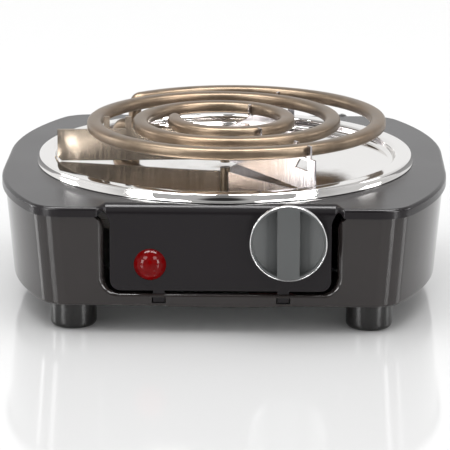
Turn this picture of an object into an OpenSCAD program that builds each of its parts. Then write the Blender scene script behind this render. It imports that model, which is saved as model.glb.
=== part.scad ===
/* [Body plan] */
// Width of the top cover across its lip
body_w = 217.4; // [200:1:250]
// Depth of the top cover, front to back
body_d = 205; // [198:1:230]
// Radius of the long side curves
side_r = 150; // [140:1:180]
// Half length of the straight stretch of each side
side_flat = 20; // [12:1:28]
// Radius of the four corners of the cover
corner_r = 17; // [12:1:22]

/* [Sheet metal] */
// Thickness of the pressed steel sheet
sheet = 0.8; // [0.6:0.1:1.2]
// Height of the cover's top face above the table
cover_h = 62.5; // [56:1:70]
// Height of the turned-down lip of the cover
lip_h = 4.6; // [3:0.2:8]
// Gap between the lip and the lower housing
lip_gap = 0.4; // [0.2:0.1:1]
// How far the housing wall leans in from top to bottom
wall_lean = 4.1; // [2:0.1:6]
// Radius of the opening in the housing's bottom, closed by the base plate
bottom_opening_r = 90; // [80:1:92]
// Gap between the base plate and the housing wall
plate_gap = 1.2; // [0.9:0.1:2]

/* [Front fascia] */
// Width of the fascia
fascia_w = 103.7; // [96:0.5:110]
// How far the fascia stands behind the cover's front edge
fascia_setback = 6.2; // [5.9:0.1:6.5]
// Height of the fascia's bottom edge above the table
fascia_bottom = 21.1; // [18.5:0.1:22]
// Radius of the fold between the top face and the fascia
fold_r = 5; // [3:0.5:5.5]
// Radius of the fascia's bottom corners
fascia_corner_r = 5; // [3:0.5:8]
// Gap between the fascia and the edge of the housing's front opening
fascia_gap = 2.9; // [2:0.1:4]
// Gap between the fascia's bottom edge and the housing strip under it
strip_gap = 1.5; // [1:0.1:2]
// Width of each tab slot in the strip
slot_w = 6.6; // [4:0.1:9]
// Height of each tab slot
slot_h = 3; // [1.6:0.1:4]
// Distance of the left tab slot from the middle
slot_left = 28.9; // [20:0.5:40]
// Distance of the right tab slot from the middle
slot_right = 29.5; // [20:0.5:40]
// How far the edge rolled in around the opening reaches behind the fascia's face
roll_depth = 2.5; // [1:0.1:4]
// Widening of the housing's opening at its upper corners, on each side
mouth_flare = 3.4; // [1:0.1:5]
// Height of those widened corners
mouth_flare_h = 9; // [5:0.5:14]
// Outward flare of the fascia's top corners, on each side
corner_flare = 2.2; // [1:0.1:4]
// Height over which the fascia's corners flare
corner_flare_h = 4.5; // [2:0.5:10]
// Distance from the fascia's flared corner to the end of the lip beside it
lip_end_gap = 2.2; // [1:0.1:4]
// Height of the web that joins the fascia's corner to the end of the lip
web_h = 2.6; // [1.5:0.1:4]
// Sheet left between a tab slot and the strip's top edge
slot_edge = 1.4; // [0.4:0.1:2.4]
// Side gap between a tongue of the fascia and its slot
tongue_gap = 0.6; // [0.3:0.1:1]

/* [Feet and fasteners] */
// Height of the feet under the housing
foot_h = 13.5; // [10:0.5:20]
// Diameter of each foot
foot_d = 22; // [18:0.5:26]
// Distance of each foot's centre from the cover's edge, sideways
foot_in_x = 38.4; // [37:0.1:44]
// Distance of each foot's centre from the cover's edge, front to back
foot_in_y = 22.5; // [20.5:0.5:28]
// Radius of the rounded lower edge of a foot
foot_round = 2.5; // [1:0.5:4]
// Shank diameter of the foot screws
foot_screw_d = 4; // [3:0.5:5]
// Shank diameter of the small screws
small_screw_d = 3; // [2.5:0.1:3.5]
// Radial clearance around a screw
screw_clear = 0.2; // [0.1:0.05:0.4]
// Distance of each cover screw from the cover's side edge
cover_screw_in = 48.7; // [40:0.1:56]
// Height of the small screws' heads
small_head_h = 2; // [1:0.1:3]
// Length of the cover screws' shanks
cover_screw_l = 5; // [3:0.5:8]
// Height of the foot screws' heads
head_h = 3; // [2:0.1:4]
// Height of the foot nuts
nut_h = 3.2; // [2:0.1:4]

/* [Drip pan] */
// Width of the rim from the ledge's inner edge to where it rests on the cover
rim_w = 9.4; // [8:0.1:12]
// Inward lean of the rim band
band_lean = 1; // [0.5:0.1:2]
// Height of the rim above the cover
rim_h = 4.2; // [3:0.1:6]
// Inner radius of the flat ledge
ledge_inner_r = 84; // [80:0.5:86]
// Depth of the bowl's middle below the ledge
bowl_depth = 7.2; // [6:0.1:14]
// How far the bowl's floor rises from its middle to its edge
bowl_rise = 2.4; // [0.5:0.1:4]
// Radius of the flat middle of the bowl
bowl_flat_r = 12; // [6:0.5:24]
// Radius of the curve between the bowl's floor and its wall
bowl_curve_r = 2.5; // [1.5:0.1:3.5]
// How far the opening for the leads reaches in from where they turn down
window_in = 12; // [10:0.5:14]
// Wall left above the opening for the leads
window_top = 3.2; // [2.5:0.1:3.6]
// Thickness of the pan's sheet
pan_t = 0.6; // [0.4:0.1:1]
// Gap between the bowl and the opening in the cover
opening_gap = 2; // [1:0.1:4]

/* [Heat shield] */
// Radius of the heat shield
shield_r = 72; // [60:1:80]
// Gap between the pan's bowl and the heat shield
shield_gap = 21.3; // [12:0.1:24]
// Width of the shield's legs
leg_w = 8; // [5:0.5:12]

/* [Heating coil] */
// Distance of the outer turn from the centre, on the right
coil_r = 76; // [72:0.5:80]
// Distance from one turn to the next
coil_pitch = 22.6; // [18:0.1:24]
// Width of the heating tube
tube_w = 7.5; // [6:0.1:9]
// Height of the heating tube, flattened top and bottom
tube_h = 6.1; // [5:0.1:7]
// Height of the coil's underside above the pan's ledge
coil_lift = 11.4; // [9:0.1:14]
// Radius of the outer end's sweep toward the back
tail_r = 72; // [69:0.5:73]
// Angle of the outer end's sweep
tail_angle = 131; // [120:1:136]
// Angle of the innermost turn
inner_angle = 178; // [160:1:185]
// Diameter of the round leads
lead_d = 6.4; // [5:0.1:7]
// Height of the inner lead's run under the turns, below the coil's middle
lead_drop = 9.4; // [8.5:0.1:12]
// Straight stretch of each lead before it bends down
elbow_reach = 5; // [4:0.5:7]
// How much fuller the balls at the bends of leads and wires are
bend_swell = 1.12; // [1.05:0.01:1.15]

/* [Coil support] */
// Thickness of the support arms
arm_t = 1; // [0.8:0.1:2]
// Gap between each arm's end and the bowl's wall
arm_end_gap = 0.6; // [0.5:0.1:2]
// Chamfer on the lower corner of each arm's end
arm_chamfer = 2; // [1.5:0.1:4]
// Directions of the three arms, seen from above
arm_angles = [184, 302, 66];
// Radius of the hub that joins the arms
hub_r = 2.5; // [2:0.1:4]
// Depth of the hub below the arms
hub_drop = 1.4; // [0.8:0.1:1.8]
// Running clearance between the raised coil's pieces and fixed pieces
rest_gap = 0.3; // [0.2:0.05:0.5]
// Height of the clip tabs beside the turns, above the coil's underside
tab_h = 6.2; // [4:0.1:8]
// Width of each clip tab
tab_w = 3; // [2:0.1:5]
// Gap between a clip tab and the tube
tab_gap = 0.7; // [0.3:0.1:1]
// Length of the window near the front and back arms' ends
window_l = 11; // [6:0.5:14]
// Height of the window
window_h = 5; // [3:0.5:8]
// Plate left above the window
window_edge = 1.3; // [1:0.1:2]
// Plate left between the window and the arm's end
window_out = 6.2; // [4:0.1:9]

/* [Coil hinge] */
// Direction in which the leads leave the pan, seen from above
lead_dir = 125; // [120:1:130]
// Distance of the hinge pin from the centre, along the leads
hinge_u = 99; // [96:0.5:102]
// Sideways offset of the hinge's middle from the line through the centre
hinge_off = 16; // [12:0.5:20]
// Height of the hinge pin above the table
hinge_h = 47.5; // [44:0.5:49]
// Distance between the two leads at the hinge
lead_spacing = 13; // [11:0.5:16]
// Diameter of the hinge pin
pin_d = 4; // [3:0.5:5]
// Radial clearance of the hinge pin in the coil bracket
pin_clear = 0.05; // [0.03:0.01:0.1]
// Thickness of the coil bracket's plate
bracket_t = 1.5; // [1:0.1:2]
// Side gap between the coil bracket and the hinge bracket
ear_gap = 0.5; // [0.3:0.1:1]
// Extra length of the hinge bracket's ears beyond the coil bracket's
ear_x = 3; // [2:0.5:5]
// Gap between the hinge pin and the leads above it
lead_gap = 1.8; // [1.2:0.1:3]
// Plate left beside the leads in the coil bracket
bracket_edge = 2.5; // [1.5:0.1:4]
// Distance from the hinge pin back to the coil bracket's plate
plate_back = 8; // [7:0.5:12]
// Length of the leads' low run inside the pan
lead_run = 17; // [13:0.5:20]
// Length of each lead behind the bracket's plate
lead_past = 6; // [4:0.5:10]
// Length of the ceramic seals
seal_l = 5; // [3:0.5:8]
// Diameter of the ceramic seals
seal_d = 8; // [7:0.1:9]
// Diameter of the terminal pins
terminal_d = 3; // [2:0.1:4]
// Length of the terminal pins
terminal_l = 11; // [8:0.5:12]

/* [Control] */
// Sideways place of the control shaft
shaft_x = 31.8; // [20:0.1:34]
// Height of the control shaft above the table
shaft_h = 47; // [40:0.5:50]
// Diameter of the control shaft
shaft_d = 6; // [5:0.5:8]
// Radial clearance of the shaft in its bush
shaft_clear = 0.05; // [0.03:0.01:0.1]
// Outer diameter of the threaded bush
bush_d = 9; // [8.5:0.5:12]
// Diameter of the knob's face
knob_d = 36.3; // [30:0.1:40]
// Depth of the knob from its face to its back edge
knob_depth = 10; // [9:0.5:14]
// Gap between the back of the knob and the fascia
knob_gap = 1; // [0.6:0.1:2]
// Taper of the knob toward its back, in radius
knob_taper = 3.2; // [1:0.1:5]
// Width of the grip bar across the knob
grip_w = 10.4; // [7:0.1:14]
// Depth of the finger hollows beside the grip bar
hollow_depth = 5.5; // [4:0.1:6.5]
// Width of the bright ring around the knob's face
ring_w = 0.7; // [0.5:0.05:1.2]
// Depth of the bright ring
ring_depth = 2; // [1:0.1:3]
// Wall of the knob behind its face
knob_wall = 1.6; // [1.2:0.1:2.2]
// Knob left in front of the shaft's end
knob_skin = 2.6; // [2:0.1:4]
// Thickness of the thermostat's frame
frame_t = 1.2; // [0.8:0.1:2]
// Width of the thermostat's frame
frame_w = 28; // [24:1:34]
// Length of the bush behind the frame
bush_l = 4; // [3:0.5:6]
// Distance of each frame screw from the shaft
screw_spread = 9; // [7.5:0.1:11]
// Distance of the washer stack below the shaft
stack_drop = 11; // [9.5:0.5:13]
// Diameter of the stack's washers
stack_d = 10; // [8:0.5:11]
// Width of the contact blades
blade_w = 6; // [5:0.5:8]
// Thickness of the contact blades
blade_t = 0.5; // [0.3:0.1:0.8]
// Thickness of the middle and last washers
washer_t = 2; // [1.5:0.1:3]
// Thickness of the shaft's clip
clip_t = 0.8; // [0.5:0.1:1]

/* [Indicator] */
// Sideways place of the indicator lens
lens_x = -33; // [-40:0.5:-24]
// Height of the indicator lens above the table
lens_h = 33.7; // [30:0.1:44]
// Diameter of the lens
lens_d = 15; // [12:0.5:18]
// How far the dome of the lens stands out
dome_h = 4.5; // [2:0.1:6]
// Diameter of the hollow stem behind the lens
stem_d = 11; // [9:0.5:12]
// Length of the stem behind the fascia's face
stem_l = 9; // [6:0.5:11]
// Diameter of the neon lamp in the stem
lamp_d = 6; // [4:0.5:7]

/* [Wiring] */
// Sideways place of the cord inlet in the back wall
inlet_x = 45; // [20:1:60]
// Height of the cord inlet above the table
inlet_h = 32; // [28:0.5:40]
// Bore of the cord inlet bushing
inlet_bore_d = 7; // [5:0.5:9]
// Outer diameter of the bushing in the wall
inlet_d = 12; // [10:0.5:14]
// Diameter of the inner wires
wire_d = 2.4; // [1.6:0.1:3]
// Length of the terminal block
block_l = 34; // [28:1:40]
// Depth of the terminal block
block_w = 14; // [10:0.5:16]
// Height of the terminal block
block_h = 14; // [12:0.5:18]
// Number of ways in the terminal block
ways = 4; // [4:1:5]
// Gap between the terminal block and the back edge of the cover
block_gap = 12.5; // [12:0.5:20]

/* [Hidden] */
$fn = 64;

eps = 0.01;

// plan of the cover
half_w = body_w / 2;
half_d = body_d / 2;
side_cx = half_w - side_r;
corner_cy = half_d - corner_r;
foot_x = half_w - foot_in_x;
foot_y = half_d - foot_in_y;
corner_cx = side_cx + sqrt(pow(side_r - corner_r, 2) - pow(corner_cy - side_flat, 2));
blend_a = atan2(corner_cy - side_flat, corner_cx - side_cx);
steps = 8;

// levels
wall_top = cover_h - sheet;
wall_h = wall_top - foot_h;
top_inset = sheet + lip_gap;
bottom_inset = top_inset + wall_lean;
plate_z = foot_h + sheet;
inside_z = plate_z + sheet;
ledge_z = cover_h + rim_h;
coil_under = ledge_z + coil_lift;
coil_z = coil_under + tube_h / 2;
lean_a = atan2(wall_lean, wall_h);

// fascia
fascia_y = half_d - fascia_setback;
fold_z = cover_h - fold_r;
opening_w = fascia_w + 2 * fascia_gap;
strip_top = fascia_bottom - strip_gap;
slot_z = strip_top - slot_edge - slot_h;
slots = [-slot_left, slot_right];
opening_corner_r = fascia_corner_r + fascia_gap;

// pan
pan_base_r = ledge_inner_r + rim_w;
crest_r = pan_base_r - band_lean;
opening_r = ledge_inner_r + opening_gap;
bowl_floor_z = ledge_z - bowl_depth;
bowl_edge_z = bowl_floor_z + bowl_rise;
shield_z = bowl_floor_z - pan_t - shield_gap - sheet;

// coil
step = coil_pitch / 4;
coil_rho = coil_r - step / 2;
inner_rho = coil_rho - 8 * step;
tail_c = [step / 2 + coil_rho - tail_r, step / 2];
lead_z = coil_z - lead_drop;

// hinge frame: u runs out along the leads, v across them
lead_u = [cos(lead_dir), sin(lead_dir)];
lead_v = [-sin(lead_dir), cos(lead_dir)];
lead_low_z = hinge_h + pin_d / 2 + lead_d / 2 + lead_gap;
lead_offs = [hinge_off - lead_spacing / 2, hinge_off + lead_spacing / 2];
lead_turn_u = hinge_u - plate_back - lead_run;
bracket_w = lead_spacing + lead_d + 2 * bracket_t + 2 * bracket_edge;
plate_u = hinge_u - plate_back;
lead_end_u = plate_u + bracket_t + lead_past;
ear_r = pin_d;

// control
corner_x = fascia_w / 2 + corner_flare;
lip_end_x = corner_x + lip_end_gap;
knob_back = fascia_y + knob_gap;
knob_front = knob_back + knob_depth;
shaft_front = knob_front - knob_skin;
stack_z = shaft_h - stack_drop;
frame_front = fascia_y - sheet;
frame_back = frame_front - frame_t;
bush_back = frame_back - bush_l;
shaft_back = bush_back - clip_t - 1.5;
blade_y = [shaft_back - 0.5 - blade_t, shaft_back - 0.5 - washer_t - 2 * blade_t];
blade_low = stack_z - stack_d / 2;

// wiring
block_x = inlet_x - inlet_d / 2 - 3 - block_l;
block_y = half_d - block_gap - block_w;
block_z = inside_z + 7;
lamp_back = fascia_y - stem_l - 2;
wire_low = inside_z + 5;
wire_high = wire_low + 4;

cover_screw_x = half_w - cover_screw_in;
cover_screw_z = cover_h - lip_h / 2;

function arc(c, r, from, to, n) =
    [for (i = [0:n]) c + r * [cos(from + (to - from) * i / n), sin(from + (to - from) * i / n)]];
function tail(p) = [for (i = [1:len(p) - 1]) p[i]];
function back(p) = [for (i = [len(p) - 1:-1:0]) p[i]];
function flip(p, sx, sy) = [for (q = p) [q[0] * sx, q[1] * sy]];

// one quarter of the body's outline, set in by d
function quarter(d) = concat(
    arc([side_cx, side_flat], side_r - d, 0, blend_a, steps),
    tail(arc([corner_cx, corner_cy], corner_r - d, blend_a, 90, steps)));

module plan(d) {
    polygon(concat(quarter(d), back(flip(quarter(d), -1, 1)),
        flip(quarter(d), -1, -1), back(flip(quarter(d), 1, -1))));
}

// a point given along and across the leads
function at_lead(u, v, z) = [u * lead_u[0] + v * lead_v[0], u * lead_u[1] + v * lead_v[1], z];

// lay a child so that its x runs along the leads and its y across them
module along_leads() {
    rotate([0, 0, lead_dir]) children();
}

// a round rod through a list of points, with a fuller ball at each corner
module rod(points, r) {
    for (i = [0:len(points) - 2]) {
        d = points[i + 1] - points[i];
        l = norm(d);
        translate(points[i]) rotate([0, acos(d[2] / l), atan2(d[1], d[0])]) cylinder(r = r, h = l);
    }
    for (i = [1:len(points) - 2]) translate(points[i]) sphere(r = r * bend_swell);
}

// a cylinder whose axis runs forward, from y0 to y1
module forward(x, z, r, y0, y1) {
    translate([x, -y0, z]) rotate([90, 0, 0]) cylinder(r = r, h = y1 - y0);
}

// ---- covers ----

// outline of the fascia or of the opening around it, in x and z
module front_outline(w, bottom, top, r) {
    translate([-w / 2 + r, bottom]) square([w - 2 * r, top - bottom]);
    translate([-w / 2, bottom + r]) square([w, top - bottom - r]);
    for (s = [-1, 1]) translate([s * (w / 2 - r), bottom + r]) circle(r = r);
}

module upright(y0, y1) {
    translate([0, -y0, 0]) rotate([90, 0, 0]) linear_extrude(y1 - y0) children();
}

// holes or shanks of the screws that hold the cover's lip to the housing at the back
module at_cover_screws() {
    for (s = [-1, 1]) translate([s * cover_screw_x, half_d, cover_screw_z])
        rotate([-90, 0, 0]) children();
}

module top_cover() color("#2b2829") {
    difference() {
        union() {
            translate([0, 0, wall_top]) linear_extrude(sheet) plan(0);
            translate([0, 0, cover_h - lip_h]) linear_extrude(lip_h - sheet + eps) difference() {
                plan(0);
                plan(sheet);
            }
        }
        translate([0, 0, wall_top - 1]) cylinder(r = opening_r, h = sheet + 2);
        translate([-corner_x, -half_d - 1, cover_h - lip_h - 1])
            cube([2 * corner_x, half_d + 1 - fascia_y + fold_r, lip_h + 2]);
        for (s = [-1, 1]) scale([s, 1, 1]) {
            translate([0, 0, cover_h - lip_h - 1]) linear_extrude(lip_h + 2) polygon([
                [corner_x - 1, -half_d - 1], [lip_end_x, -half_d - 1], [lip_end_x, -half_d],
                [corner_x, -fascia_y], [corner_x - 1, -fascia_y]]);
            upright(half_d - 2 * sheet, half_d + 1) polygon([
                [corner_x, cover_h - web_h], [lip_end_x, cover_h - web_h],
                [lip_end_x + lip_h - web_h, cover_h - lip_h - eps], [corner_x, cover_h - lip_h - eps]]);
        }
        at_cover_screws() translate([0, 0, -3]) cylinder(r = small_screw_d / 2 + screw_clear, h = 4);
    }
    for (s = [-1, 1]) scale([s, 1, 1]) translate([0, 0, cover_h - web_h]) linear_extrude(web_h) polygon([
        [corner_x, -fascia_y], [lip_end_x, -half_d], [lip_end_x + sheet, -half_d + sheet / 2],
        [corner_x + sheet, -fascia_y + sheet / 2], [corner_x - eps, -fascia_y + sheet / 2]]);
    translate([-corner_x, 0, 0]) rotate([90, 0, 90]) linear_extrude(2 * corner_x) intersection() {
        translate([-fascia_y + fold_r, fold_z]) difference() {
            circle(r = fold_r);
            circle(r = fold_r - sheet);
        }
        translate([-fascia_y, fold_z]) square([fold_r + eps, fold_r]);
    }
    difference() {
        upright(fascia_y - sheet, fascia_y) {
            front_outline(fascia_w, fascia_bottom, fold_z + eps, fascia_corner_r);
            for (s = [-1, 1]) scale([s, 1]) polygon([[corner_x, fold_z + eps], [corner_x, fold_z],
                [fascia_w / 2, fold_z - corner_flare_h], [fascia_w / 2 - 1, fold_z - corner_flare_h],
                [fascia_w / 2 - 1, fold_z + eps]]);
            for (x = slots) translate([x - slot_w / 2 + tongue_gap, slot_z + tongue_gap / 3])
                square([slot_w - 2 * tongue_gap, fascia_bottom - slot_z + 1]);
        }
        forward(shaft_x, shaft_h, bush_d / 2 + screw_clear, fascia_y - sheet - 1, fascia_y + 1);
        forward(lens_x, lens_h, stem_d / 2 + screw_clear, fascia_y - sheet - 1, fascia_y + 1);
        for (s = [-1, 1]) forward(shaft_x + s * screw_spread, shaft_h,
            small_screw_d / 2 + screw_clear, fascia_y - sheet - 1, fascia_y + 1);
    }
}

// the housing's leaning wall as a solid block, set in by d from its outer face
module wall_block(d) {
    translate([0, 0, wall_h]) mirror([0, 0, 1]) linear_extrude(wall_h, slices = 1, $fn = 1,
        scale = [(half_w - bottom_inset - d) / (half_w - top_inset - d),
            (half_d - bottom_inset - d) / (half_d - top_inset - d)]) plan(top_inset + d);
}

// place a child on the outer face of the back wall at the cord inlet, its z pointing out
module at_inlet() {
    y = half_d - top_inset - wall_lean * (wall_top - inlet_h) / wall_h;
    translate([inlet_x, y, inlet_h]) rotate([-90 - lean_a, 0, 0]) children();
}

module at_feet() {
    for (x = [-foot_x, foot_x]) for (y = [-foot_y, foot_y]) translate([x, y, 0]) children();
}

// outline of the housing's opening for the fascia, grown by d
module mouth(d, top) {
    front_outline(opening_w + 2 * d, strip_top - d, top, opening_corner_r + d);
    for (s = [-1, 1]) scale([s, 1]) polygon([[opening_w / 2 - 1, top], [opening_w / 2 - 1, wall_top - mouth_flare_h],
        [opening_w / 2 + d, wall_top - mouth_flare_h],
        [opening_w / 2 + mouth_flare + d, wall_top - mouth_flare_h + mouth_flare],
        [opening_w / 2 + mouth_flare + d, top]]);
}

module lower_housing() color("#3e3a38") {
    difference() {
        translate([0, 0, foot_h]) wall_block(0);
        translate([0, 0, foot_h]) wall_block(sheet);
        upright(fascia_y - roll_depth - 6, half_d + 1)
            mouth(0, cover_h + 1);
        for (x = slots) translate([x - slot_w / 2, -half_d, slot_z])
            cube([slot_w, half_d - fascia_y + 1, slot_h]);
        at_inlet() translate([0, 0, -4]) cylinder(r = inlet_d / 2 + 0.1, h = 8);
        at_cover_screws() translate([0, 0, -4]) cylinder(r = small_screw_d / 2 + screw_clear, h = 5);
    }
    translate([0, 0, foot_h]) linear_extrude(sheet) difference() {
        plan(bottom_inset + 0.75 * sheet);
        circle(r = bottom_opening_r, $fn = 128);
        at_feet() circle(r = foot_screw_d / 2 + screw_clear);
    }
    difference() {
        intersection() {
            translate([0, 0, foot_h]) wall_block(0);
            upright(fascia_y - roll_depth, half_d + 1) difference() {
                mouth(sheet, wall_top);
                mouth(0, wall_top + 1);
            }
        }
        for (x = slots) translate([x - slot_w / 2, -fascia_y - 0.15, slot_z])
            cube([slot_w, half_d, strip_top]);
    }
}

module base_plate() color("#8d8f90") {
    translate([0, 0, plate_z]) linear_extrude(sheet) difference() {
        plan(bottom_inset + sheet + plate_gap);
        at_feet() circle(r = foot_screw_d / 2 + screw_clear);
        for (x = [-2:2]) for (y = [-40, 40]) translate([x * 12, y]) {
            square([4, 28], center = true);
            for (s = [-1, 1]) translate([0, s * 14]) circle(r = 2);
        }
    }
}

module heat_shield() color("#b9bcc0") {
    translate([0, 0, shield_z]) cylinder(r = shield_r, h = sheet, $fn = 128);
    for (a = [90, 210, 330]) rotate([0, 0, a]) {
        translate([shield_r - sheet - 1, -leg_w / 2, inside_z]) cube([sheet, leg_w, shield_z - inside_z + eps]);
        translate([shield_r - leg_w - 1, -leg_w / 2, inside_z]) cube([leg_w, leg_w, sheet]);
    }
}

// ---- pan ----

function left_of(p, i) = let (a = p[max(i - 1, 0)], b = p[min(i + 1, len(p) - 1)], d = b - a)
    [-d[1], d[0]] / norm(d);
function under(p, t) = [for (i = [0:len(p) - 1]) p[i] + t * left_of(p, i)];

pan_curve = concat(
    [[pan_base_r, cover_h + pan_t / 2], [pan_base_r - 0.4, cover_h + 1]],
    arc([crest_r - 1, ledge_z - 1], 1, 0, 90, 4),
    [[ledge_inner_r + 1, ledge_z]],
    [[ledge_inner_r, ledge_z - 0.8]],
    arc([ledge_inner_r - bowl_curve_r, bowl_edge_z + bowl_curve_r], bowl_curve_r, 0, -90, 6),
    [[bowl_flat_r, bowl_floor_z], [0, bowl_floor_z]]);

module drip_pan() color("#d6d9dc") {
    difference() {
        translate([0, 0, 0]) rotate_extrude($fn = 128) polygon(concat(pan_curve, back(under(pan_curve, pan_t))));
        along_leads() translate([lead_turn_u - window_in, hinge_off - bracket_w / 2, bowl_floor_z - pan_t])
            cube([plate_u - lead_turn_u + window_in, bracket_w, ledge_z - pan_t - window_top - bowl_floor_z + pan_t]);
    }
}

// ---- coil ----

centres = [[step / 2, step / 2], [step / 2, -step / 2], [-step / 2, -step / 2], [-step / 2, step / 2]];

// distance of the spiral from the centre in direction a, on its quarter turn q
function spiral_r(a, q) = let (e = [cos(a), sin(a)], c = centres[q % 4], p = e * c)
    p + sqrt(p * p - c * c + pow(coil_rho - q * step, 2));

module tube_section() {
    intersection() {
        circle(d = tube_w);
        square([tube_w + 1, tube_h], center = true);
    }
}

module tube_arc(c, r, from, sweep) {
    translate([c[0], c[1], coil_z]) rotate([0, 0, from]) rotate_extrude(angle = sweep, $fn = 128)
        translate([r, 0]) tube_section();
}

module heating_coil() color("#7b6c5a") {
    tube_arc(tail_c, tail_r, 0, tail_angle);
    for (q = [0:7]) tube_arc(centres[q % 4], coil_rho - q * step, -90 * (q + 1), 90);
    translate([centres[0][0], centres[0][1], coil_z]) mirror([0, 1, 0])
        rotate_extrude(angle = inner_angle, $fn = 128) translate([inner_rho, 0]) tube_section();
}

tail_end = tail_c + tail_r * [cos(tail_angle), sin(tail_angle)];
tail_way = [-sin(tail_angle), cos(tail_angle)];
inner_end = centres[0] + inner_rho * [cos(inner_angle), -sin(inner_angle)];
inner_way = [-sin(inner_angle), -cos(inner_angle)];

// a point at height z, ahead of a coil end that points in direction way
function ahead(end, way, reach, z) = [end[0] + way[0] * reach, end[1] + way[1] * reach, z];

module coil_leads() color("#6b5d4c") {
    rod([ahead(tail_end, tail_way, 0, coil_z), ahead(tail_end, tail_way, elbow_reach, coil_z),
        at_lead(lead_turn_u, lead_offs[0], lead_low_z), at_lead(lead_end_u, lead_offs[0], lead_low_z)],
        lead_d / 2);
    rod([ahead(inner_end, inner_way, 0, coil_z), ahead(inner_end, inner_way, elbow_reach, coil_z),
        ahead(inner_end, inner_way, 2 * elbow_reach, lead_z), at_lead(lead_turn_u - 12, lead_offs[1], lead_z),
        at_lead(lead_turn_u, lead_offs[1], lead_low_z), at_lead(lead_end_u, lead_offs[1], lead_low_z)],
        lead_d / 2);
}

// a child at the end of each lead, its z pointing out along the lead
module at_lead_ends() {
    for (v = lead_offs) translate(at_lead(lead_end_u, v, lead_low_z)) rotate([0, 90, lead_dir]) children();
}

module lead_seals() color("#e9e4da") {
    at_lead_ends() difference() {
        cylinder(d = seal_d, h = seal_l);
        translate([0, 0, -1]) cylinder(r = terminal_d / 2 + 0.05, h = seal_l + 2);
    }
}

module terminal_pins() color("#c8ccd0") {
    at_lead_ends() cylinder(d = terminal_d, h = terminal_l);
}

// ---- support ----

arm_top = coil_under;
arm_low = bowl_edge_z + rest_gap;
arm_r = ledge_inner_r - arm_end_gap;

// a vertical support plate in direction a with tabs that stand from the given radii
module support_arm(a, tabs) {
    rotate([0, 0, a]) translate([0, arm_t / 2, 0]) rotate([90, 0, 0]) linear_extrude(arm_t) {
        polygon([[hub_r + 0.05, arm_low], [arm_r - arm_chamfer, arm_low], [arm_r, arm_low + arm_chamfer],
            [arm_r, arm_top], [hub_r + 0.05, arm_top]]);
        for (r = tabs) translate([r, arm_top - 1]) square([tab_w, tab_h + 1]);
    }
}

// a window near the end of the arm in direction a
module arm_window(a) {
    window_r = arm_r - window_out;
    window_z = arm_top - window_edge;
    rotate([0, 0, a]) translate([0, arm_t, 0]) rotate([90, 0, 0]) linear_extrude(2 * arm_t)
        polygon([[window_r - window_l, window_z - window_h], [window_r, window_z - window_h],
            [window_r, window_z], [window_r - window_l + window_h * 0.8, window_z]]);
}

half_tube = tube_w / 2 + tab_gap;

module support_arm_left() color("#c9bda8") {
    support_arm(arm_angles[0], [spiral_r(arm_angles[0], 1) - half_tube - tab_w,
        spiral_r(arm_angles[0], 5) + half_tube]);
}

module support_arm_front() color("#c9c6bf") {
    difference() {
        support_arm(arm_angles[1], [spiral_r(arm_angles[1], 0) + half_tube,
            spiral_r(arm_angles[1], 0) - half_tube - tab_w, spiral_r(arm_angles[1], 8) + half_tube,
            spiral_r(arm_angles[1], 8) - half_tube - tab_w]);
        arm_window(arm_angles[1]);
    }
}

module support_arm_back() color("#c9c6bf") {
    difference() {
        support_arm(arm_angles[2], [spiral_r(arm_angles[2], 3) + half_tube,
            spiral_r(arm_angles[2], 7) - half_tube - tab_w]);
        arm_window(arm_angles[2]);
    }
}

module support_hub() color("#4a443d") {
    translate([0, 0, arm_low - hub_drop]) cylinder(r = hub_r, h = coil_under - arm_low + hub_drop - 1);
}

// ---- coil hinge ----

module coil_bracket() color("#a9adb0") {
    along_leads() difference() {
        union() {
            translate([plate_u, hinge_off - bracket_w / 2, hinge_h - ear_r])
                cube([bracket_t, bracket_w, lead_low_z - hinge_h + ear_r + lead_d / 2 + 0.7]);
            for (s = [0, 1]) translate([0, hinge_off - bracket_w / 2 + s * (bracket_w - bracket_t), 0]) {
                translate([plate_u, 0, hinge_h - ear_r]) cube([hinge_u - plate_u, bracket_t, 2 * ear_r]);
                translate([hinge_u, bracket_t, hinge_h]) rotate([90, 0, 0]) cylinder(r = ear_r, h = bracket_t);
            }
        }
        for (v = lead_offs) translate([plate_u - 1, v, lead_low_z]) rotate([0, 90, 0])
            cylinder(r = lead_d / 2 + 0.05, h = bracket_t + 2);
        pin_hole(bracket_w + 2);
    }
}

// a cylinder of length l on the hinge axis, as wide as the holes for the pin
module pin_hole(l) {
    translate([hinge_u, hinge_off + l / 2, hinge_h]) rotate([90, 0, 0])
        cylinder(r = pin_d / 2 + pin_clear, h = l);
}

hinge_w = bracket_w + 2 * ear_gap + 2 * bracket_t;

module hinge_bracket() color("#8f9396") {
    along_leads() difference() {
        union() {
            translate([hinge_u - ear_x, hinge_off - hinge_w / 2, wall_top - 1])
                cube([2 * ear_x + 2, hinge_w, 1]);
            for (s = [0, 1]) translate([0, hinge_off - hinge_w / 2 + s * (hinge_w - bracket_t), 0]) {
                translate([hinge_u - ear_x, 0, hinge_h]) cube([2 * ear_x, bracket_t, wall_top - hinge_h]);
                translate([hinge_u, bracket_t, hinge_h]) rotate([90, 0, 0]) cylinder(r = ear_r, h = bracket_t);
            }
        }
        pin_hole(hinge_w + 2);
    }
}

module hinge_pin() color("#d0d3d6") {
    along_leads() translate([hinge_u, hinge_off + hinge_w / 2 + 0.2, hinge_h]) rotate([90, 0, 0]) {
        cylinder(d = pin_d, h = hinge_w + 0.4);
        translate([0, 0, -1]) cylinder(r = pin_d / 2 + 1, h = 1);
        translate([0, 0, hinge_w + 0.4]) cylinder(r = pin_d / 2 + 1, h = 1);
    }
}

// ---- control ----

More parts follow.
